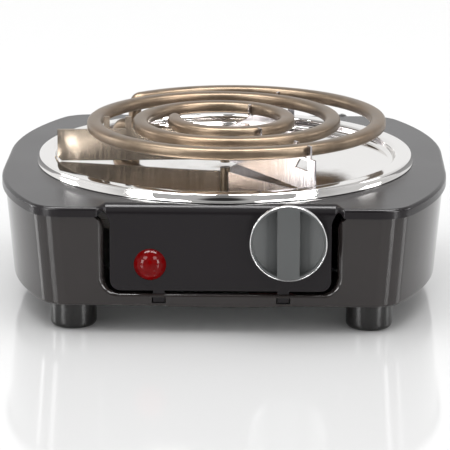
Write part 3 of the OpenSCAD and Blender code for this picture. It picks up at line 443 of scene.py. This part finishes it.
# nickel-alloy sheath, oxidised to a taupe brown: mottled in 8 mm and 42 mm patches, over a drawn
# grain of 0.4 mm, coarser than the real one so that it shows
sheath, sh, at = begin("coil_sheath", "#6b5c49", 0.31, 0.92)
mottle = add(sheath, "TexNoise", Vector=at, Scale=across(8.3333), Detail=6.0, Roughness=0.65)
patch = add(sheath, "TexNoise", Vector=at, Scale=across(41.667), Detail=3.0)
tone = add(sheath, "Mix", {"data_type": "RGBA"}, Factor=mottle,
           i6=lin("#50453a"), i7=lin("#8a7a68")).node.outputs[2]
share = add(sheath, "MapRange", Value=patch, From_Min=0.45, From_Max=0.7)
tone = add(sheath, "Mix", {"data_type": "RGBA"}, Factor=share, i6=tone,
           i7=lin("#7a6856")).node.outputs[2]
link(sheath, tone, sh.inputs["Base Color"])
link(sheath, add(sheath, "MapRange", Value=mottle, To_Min=0.28, To_Max=0.48),
     sh.inputs["Roughness"])
grain = add(sheath, "TexNoise", Vector=at, Scale=across(0.38462), Detail=2.0)
link(sheath, add(sheath, "Bump", Height=grain, Strength=0.2, Distance=0.00005),
     sh.inputs["Normal"])


def moulded(name, colour, rough, grain_mm, bump, other):
    """Moulded plastic, rubber or ceramic: a grain, no finer than shows, and a slight change of
    tone in patches 22 mm across."""
    mat, sh, at = begin(name, colour, rough)
    grain = add(mat, "TexNoise", Vector=at, Scale=across(grain_mm), Detail=2.0)
    tone = add(mat, "TexNoise", Vector=at, Scale=across(22.222), Detail=4.0)
    link(mat, add(mat, "Mix", {"data_type": "RGBA"}, Factor=tone, i6=lin(colour),
                  i7=lin(other)).node.outputs[2], sh.inputs["Base Color"])
    link(mat, add(mat, "MapRange", Value=grain, To_Min=rough - 0.06, To_Max=rough + 0.08),
         sh.inputs["Roughness"])
    link(mat, add(mat, "Bump", Height=grain, Strength=bump, Distance=0.00005),
         sh.inputs["Normal"])
    return mat


# fired steatite, white and matt with a fine pressed grain
steatite = moulded("steatite", "#e7e2d8", 0.55, 0.4, 0.2, "#ddd7cb")
finish(steatite, "lead_seals")
finish(bright, "terminal_pins")

pitch, coil_z, coil_r, bend_r = 5.65, 81.15, 76, 7.5
flat_w, flat_h, round_r, ring_points = 3.75, 3.05, 3.2, 28
outer_lead, inner_lead = 9.5, 22.5
lead_start, lead_end, lead_z, under_z = 74, 98.5, 54.5, 71.75


def lead(end, way, turns):
    """A coil end carried on through corner points, each rounded off."""
    raw = [end, end + way * 5] + turns
    out = []
    for i in range(1, len(raw) - 1):
        a, b = (raw[i - 1] - raw[i]), (raw[i + 1] - raw[i])
        bend = math.pi - a.angle(b)
        cut = min(bend_r * math.tan(bend / 2), a.length * 0.48, b.length * 0.48)
        p, q = raw[i] + a.normalized() * cut, raw[i] + b.normalized() * cut
        out += [p.lerp(raw[i], j / 10).lerp(raw[i].lerp(q, j / 10), j / 10) for j in range(11)]
    return out + [raw[-1]]


def along(out_mm, across_mm, z):
    """A point so far out along the leads' way and so far across it."""
    return Vector((*(out_mm * out_way + across_mm * across_way), z))


# four quarter-circle centres, a pitch apart, give a spiral that comes in one pitch each quarter
near_mid, tail_r = pitch / 2, 72
quarter_r = coil_r - near_mid
mid = [(near_mid, near_mid), (near_mid, -near_mid), (-near_mid, -near_mid), (-near_mid, near_mid)]
flat = arc(near_mid + quarter_r - tail_r, near_mid, tail_r, 131, 0, 84)
for q in range(8):
    flat += arc(*mid[q % 4], quarter_r - q * pitch, -90 * q, -90 * (q + 1),
                max(14, 56 - 5 * q))[1:]
flat += arc(*mid[0], quarter_r - 8 * pitch, 0, -178, 48)[1:]
flat = [Vector((x, y, coil_z)) for x, y in flat]
first = (flat[0] - flat[1]).normalized()
last = (flat[-1] - flat[-2]).normalized()
outer_run = lead(flat[0], first, [along(lead_start, outer_lead, lead_z),
                                  along(lead_end, outer_lead, lead_z)])
inner_turn = flat[-1] + last * 10
inner_turn.z = under_z
inner_run = lead(flat[-1], last, [inner_turn, along(62, inner_lead, under_z),
                                  along(lead_start, inner_lead, lead_z),
                                  along(lead_end, inner_lead, lead_z)])
path = outer_run[::-1] + flat + inner_run

# the section goes from flattened to round over the last points, so it is swept ring by ring
bm = bmesh.new()
rings, side_before = [], None
for i, p in enumerate(path):
    t = (path[min(i + 1, len(path) - 1)] - path[max(i - 1, 0)]).normalized()
    side = t.cross(Vector((0, 0, 1)))
    if side.length < 0.2:
        side = side_before - t * side_before.dot(t)
    side.normalize()
    if i and side.dot(side_before) < 0:
        side = -side
    side_before = side
    lift = side.cross(t).normalized()
    past = max(len(outer_run) + 2 - i, i - (len(outer_run) + len(flat) - 3), 0)
    f = min(past / 5, 1)
    w, tall = flat_w + (round_r - flat_w) * f, flat_h + (round_r - flat_h) * f
    e1, e2 = 0.8 + 0.2 * f, 0.62 + 0.38 * f
    ring = []
    for j in range(ring_points):
        c = math.cos(2 * math.pi * j / ring_points)
        s = math.sin(2 * math.pi * j / ring_points)
        ring.append(bm.verts.new(p + side * w * math.copysign(abs(c) ** e1, c)
                                 + lift * tall * math.copysign(abs(s) ** e2, s)))
    rings.append(ring)
for a, b in zip(rings, rings[1:]):
    for j in range(ring_points):
        k = (j + 1) % ring_points
        bm.faces.new([a[j], a[k], b[k], b[j]])
bm.faces.new(rings[0])
bm.faces.new(rings[-1][::-1])
bmesh.ops.recalc_face_normals(bm, faces=bm.faces)
settle(bm, "coil", ("heating_coil", "coil_leads"), sheath, "coil_body", 60)


# ---- thermostat, shaft and clip ----
# A zinc-plated frame screwed behind the fascia holds a stack of ceramic washers and brass contact
# blades on a rivet. The knob's nickel-plated shaft turns in it, kept by a spring clip.

# cold-rolled brass, its lines along the blades
brass = steel("contact_brass", "#c09a4e", 0.3, (1.0, 1.0, 0.3), "#d0ab60", "#a3803a")
finish(zinc, "thermostat_frame")
finish(steatite, "thermostat_stack")
finish(brass, "stack_rivet", "contact_blades")
finish(bright, "thermostat_screws", "control_shaft", "shaft_clip")


# ---- indicator lens, clip and lamp ----
# A domed cap of red acrylic on a hollow stem, pushed into the fascia from the front and held by a
# spring clip behind it. A small neon lamp shines into the stem.

# deep red acrylic, moulded: a clear gloss skin over dark colour, with a moulding swirl of 4 mm
lens_red, sh, at = begin("lens_red", "#6a0203", 0.05)
swirl = add(lens_red, "TexNoise", Vector=at, Scale=across(3.8462), Detail=3.0, Distortion=1.5)
link(lens_red, add(lens_red, "Mix", {"data_type": "RGBA"}, Factor=swirl, i6=lin("#5c0001"),
                   i7=lin("#8a0305")).node.outputs[2], sh.inputs["Base Color"])
link(lens_red, add(lens_red, "Bump", Height=swirl, Strength=0.05, Distance=0.0002),
     sh.inputs["Normal"])
sh.inputs["Specular IOR Level"].default_value = 0.05
sh.inputs["Coat Weight"].default_value = 0.2
sh.inputs["Coat Roughness"].default_value = 0.03

# clear blown glass of the neon lamp, its surface wavy by 1.25 mm lumps
lamp_glass, sh, at = begin("lamp_glass", "#f2e6d8", 0.04)
seed = add(lamp_glass, "TexNoise", Vector=at, Scale=across(1.25), Detail=1.0)
link(lamp_glass, add(lamp_glass, "Bump", Height=seed, Strength=0.05, Distance=0.0001),
     sh.inputs["Normal"])
sh.inputs["Transmission Weight"].default_value = 0.9
finish(lamp_glass, "indicator_lamp")
finish(bright, "lens_clip")

lens_x, lens_z, lens_r, dome_h = -33, 33.7, 7.5, 4.5
stem_r, bore_r, stem_back, bore_front = 5.5, 3.5, -9, 1.0
dome_r = (lens_r ** 2 + dome_h ** 2) / (2 * dome_h)
shape = []
for i in range(20):
    a = math.radians(i * 73.2 / 20)
    shape.append((dome_r * math.sin(a), dome_h - dome_r + dome_r * math.cos(a)))
shape += [(7.45, 0.35), (lens_r, 0.15), (lens_r, 0.0), (stem_r, 0.0), (stem_r, stem_back),
          (bore_r, stem_back), (bore_r, bore_front), (3.0, 1.5), (0, 1.5)]
bm = bmesh.new()
turn(bm, [(r, fascia_y - h) for r, h in shape], 96, (lens_x, 0, lens_z), upright=False)
settle(bm, "lens", "indicator_lens", lens_red, "base", 45)


# ---- heat shield, terminal block, cord bushing and inner wires ----
# A bright plate on three legs keeps the pan's heat off the bottom. The cord comes in through a
# rubber bushing and ends at a block of ivory urea with brass screws, and sleeved wires run from
# there to the thermostat and the lamp.

# mill-finish aluminium of the shield, its rolling lines running sideways
alu = steel("shield_aluminium", "#c9cacc", 0.28, (0.1, 1.0, 1.0), "#d8d9db", "#b2b3b5")
# moulded black rubber with a faint shine from handling
rubber = moulded("black_rubber", "#141312", 0.24, 0.6, 0.12, "#1b1918")
# pressed ivory urea, satin
urea = moulded("block_urea", "#e2dccb", 0.4, 0.6, 0.15, "#d9d2bf")
# woven silicone sleeves, matt, with threads of 0.5 mm
sleeve_black = moulded("sleeve_black", "#1f2023", 0.6, 0.5, 0.6, "#2a2b2e")
sleeve_red = moulded("sleeve_red", "#7a2420", 0.6, 0.5, 0.6, "#692019")
sleeve_white = moulded("sleeve_white", "#ddd8cc", 0.6, 0.5, 0.6, "#cfc9bb")
finish(alu, "heat_shield")
finish(rubber, "cord_bushing")
finish(urea, "terminal_block")
finish(brass, "terminal_screws")
finish(sleeve_black, "wire_supply")
finish(sleeve_red, "wire_switched")
finish(sleeve_white, "wire_lamp_feed", "wire_lamp_return")


# ---- base plate, rubber feet and fasteners ----
# A slotted plate of zinc-plated steel closes the bottom. Four black rubber feet with a rounded
# lower edge stand under the housing, each with a nickel-plated screw in its well and a nut
# inside. Small zinc-plated screws at the back hold the cover to the housing.
finish(zinc, "base_plate", "cover_screws")
finish(bright, "foot_screws", "foot_nuts")

foot_x, foot_y, foot_r, foot_edge_r, well_r, screw_r = 70.3, 80, 11, 2.5, 4.5, 2.2
shape = [(screw_r, wall_low), (foot_r - 0.4, wall_low), (foot_r, wall_low - 0.4),
         (foot_r, foot_edge_r)] \
    + arc(foot_r - foot_edge_r, foot_edge_r, foot_edge_r, 0, -90, 8)[1:] \
    + [(well_r + 0.5, 0), (well_r, 0.5), (well_r, wall_low / 2), (screw_r, wall_low / 2),
       (screw_r, wall_low)]
for end, y in (("front", -foot_y), ("back", foot_y)):
    for hand, x in (("left", -foot_x), ("right", foot_x)):
        bm = bmesh.new()
        turn(bm, shape, 72, (x, y, 0))
        settle(bm, f"rubber_{end}_{hand}", f"foot_{end}_{hand}", rubber, "base", 40)


# ---- knob ----
# A tapered knob of grey thermoset, pressed onto the flat of the shaft. Its face has an upright
# grip bar between two finger hollows.

# satin grey thermoset, with a fine grain from the mould
knob_grey = moulded("knob_grey", "#565858", 0.42, 0.5, 0.2, "#5d5f5f")

knob_x, knob_z, knob_front, knob_back = 31.8, 47, -107.3, -97.3
face_r, skirt_r, back_r, shaft_bore_r = 17.45, 17.8, 14.95, 3.4
hollow_r, grip_half, floor_bend = 16.65, 5.2, 9.2
ring_deep = 2


def depth(x):
    """How deep the hollow's floor lies at a distance from the grip's middle."""
    x = abs(x)
    if x <= floor_bend:
        return 5.5 - 0.6 * (x - grip_half) / 4
    return 4.9 - (x - floor_bend) * 0.458


def angle_at(x):
    """Where the hollow's round edge is that far from the middle, in degrees."""
    return math.degrees(math.atan2(math.sqrt(hollow_r ** 2 - x ** 2), x))


def face_vert(side, end, x, z, deep=0):
    """A point of the knob's face in one of its four quarters, deep mm behind the face."""
    return vert(knob_x + side * x, knob_front + deep, knob_z + end * z)


split = angle_at(floor_bend)
edge = arc(0, 0, hollow_r, 0, split, 12) + arc(0, 0, hollow_r, split, angle_at(grip_half), 6)[1:]
hollow = edge + [(grip_half, 0)]
face = [(0, face_r)] + arc(0, 0, face_r, 90, 0, 24)[1:] + hollow + [(0, 0)]
far = [p for p in edge if p[0] >= floor_bend - 0.01] + [(floor_bend, 0)]
near = [p for p in edge if p[0] <= floor_bend + 0.01] + [(grip_half, 0), (floor_bend, 0)]
bm = bmesh.new()
grid = {}
for side in (1, -1):
    for end in (1, -1):
        loop = [face_vert(side, end, x, z) for x, z in face]
        bm.faces.new(loop if side * end > 0 else loop[::-1])
        for (x0, z0), (x1, z1) in zip(hollow, hollow[1:]):
            bm.faces.new([face_vert(side, end, x0, z0), face_vert(side, end, x1, z1),
                          face_vert(side, end, x1, z1, depth(x1)),
                          face_vert(side, end, x0, z0, depth(x0))])
        for part in (far, near):
            bm.faces.new([face_vert(side, end, x, z, depth(x)) for x, z in part])
turn(bm, [(face_r, knob_front), (face_r, knob_front + ring_deep), (skirt_r, knob_front + ring_deep),
          (back_r, knob_back), (shaft_bore_r, knob_back)], 96, (knob_x, 0, knob_z), upright=False)
bmesh.ops.remove_doubles(bm, verts=bm.verts, dist=0.004)
bmesh.ops.recalc_face_normals(bm, faces=bm.faces)
knob = settle(bm, "knob", "knob", knob_grey, "knob_body", 30)
m = knob.modifiers.new("edges", "BEVEL")
m.limit_method, m.angle_limit, m.width, m.segments = "ANGLE", math.radians(40), 0.0004, 3
m = knob.modifiers.new("normals", "WEIGHTED_NORMAL")
m.keep_sharp = True


# ---- knob ring ----
# A thin ring of bright foil-faced aluminium, rounded over at the front and pressed round the
# knob's face.

# bright foil with a turned grain of 0.7 mm, coarser than the real one so that it shows
foil, sh, at = begin("ring_silver", "#dcdcdc", 0.18, 1.0)
turned = add(foil, "TexNoise", Vector=at, Scale=across(0.66667), Detail=1.0)
link(foil, add(foil, "MapRange", Value=turned, To_Min=0.12, To_Max=0.28), sh.inputs["Roughness"])

ring_shape = [(face_r, ring_deep), (17.47, 0.2), (17.65, 0.02), (17.95, 0.02), (18.13, 0.25),
              (18.15, ring_deep), (face_r, ring_deep)]
bm = bmesh.new()
turn(bm, [(r, knob_front + deep) for r, deep in ring_shape], 128, (knob_x, 0, knob_z),
     upright=False)
settle(bm, "knob_rim", "knob_ring", foil, "knob_body", 50)


# ---- table, room and lamps ----
# A white lacquered table, slightly glossy. The room is white to the eye and gives plain light;
# shiny surfaces see it dimmer overhead, in front and to the right, with a dark place in front.

# white lacquer with 25 mm clouds of gloss
table_mat, sh, at = begin("table_white", "#f6f6f6", 0.12)
sh.inputs["Specular IOR Level"].default_value = 0.5
cloud = add(table_mat, "TexNoise", Vector=at, Scale=across(25), Detail=2.0)
link(table_mat, add(table_mat, "MapRange", Value=cloud, To_Min=0.07, To_Max=0.11),
     sh.inputs["Roughness"])
bm = bmesh.new()
bmesh.ops.create_circle(bm, cap_ends=True, segments=64, radius=12)
mesh = bpy.data.meshes.new("table")
bm.to_mesh(mesh)
bm.free()
mesh.materials.append(table_mat)
table = bpy.data.objects.new("table", mesh)
scene.collection.objects.link(table)

world = bpy.data.worlds.new("studio")
scene.world = world
world.use_nodes = True
ray = add(world, "LightPath").node.outputs
way = add(world, "TexCoord").node.outputs["Generated"]
part = add(world, "SeparateXYZ", Vector=way).node.outputs
dark_place = (0.0, -0.968, 0.25)
toward = add(world, "VectorMath", {"operation": "DOT_PRODUCT"}, i0=way,
             i1=dark_place).node.outputs["Value"]
# each line: a direction, where its fade begins and ends, and the brightness at both
fades = [(part["Y"], -0.75, -0.1, 0.5, 1.0), (part["Z"], 0.45, 0.98, 1.0, 0.34),
         (part["X"], 0.35, 0.95, 1.0, 0.72), (toward, 0.955, 0.99, 1.0, 0.06)]
room = 1.0
for value, start, stop, low, high in fades:
    faded = add(world, "MapRange", {"interpolation_type": "SMOOTHSTEP"}, Value=value,
                From_Min=start, From_Max=stop, To_Min=low, To_Max=high)
    room = add(world, "Math", {"operation": "MULTIPLY"}, i0=room, i1=faded)
plain = 0.8
seen = add(world, "Math", {"operation": "MAXIMUM"}, i0=ray["Is Glossy Ray"],
           i1=ray["Is Transmission Ray"])
change = add(world, "Math", {"operation": "SUBTRACT"}, i0=room, i1=plain)
change = add(world, "Math", {"operation": "MULTIPLY"}, i0=seen, i1=change)
level = add(world, "Math", {"operation": "ADD"}, i0=change, i1=plain)
level = add(world, "Math", {"operation": "MAXIMUM"}, i0=level, i1=ray["Is Camera Ray"])
back = world.node_tree.nodes["Background"]
back.inputs["Color"].default_value = lin("#ffffff")
link(world, level, back.inputs["Strength"])

# name, place, aim, size, watts; the key lights the object, and the others only show in its shine
for name, place, aim, size, power in (
        ("key", (0.0, -0.3, 2.4), (0, 0, 0), (2.4, 2.4), 26.0),
        ("overhead_left", (-0.42, -0.07, 1.3), (-0.42, -0.07, 0), (0.7, 0.4), 22.0),
        ("overhead_right", (0.40, -0.07, 1.3), (0.40, -0.07, 0), (0.74, 0.4), 22.0),
        ("front_left", (-0.75, -1.0, 1.0), (0, 0, 0.05), (0.6, 0.5), 9.0),
        ("front_right", (0.75, -1.0, 1.0), (0, 0, 0.05), (0.6, 0.5), 9.0),
        ("side_left", (-1.13, 0.31, 0.27), (0, 0, 0.05), (0.3, 0.36), 3.5),
        ("side_right", (1.13, 0.18, 0.37), (0, 0, 0.05), (0.3, 0.36), 2.2),
        ("strip_left", (-0.93, -0.80, 0.33), (-0.08, -0.09, 0.33), (0.34, 0.45), 7.0),
        ("strip_right", (0.93, -0.80, 0.33), (-0.05, -0.1, 0.33), (0.26, 0.45), 6.0)):
    light = bpy.data.lights.new(name, "AREA")
    light.shape, light.size, light.size_y, light.energy = "RECTANGLE", *size, power
    lamp = bpy.data.objects.new(name, light)
    scene.collection.objects.link(lamp)
    lamp.location = place
    lamp.rotation_euler = (Vector(aim) - Vector(place)).to_track_quat("-Z", "Y").to_euler()
    lamp.visible_diffuse = name == "key"
    lamp.visible_glossy = name != "key"
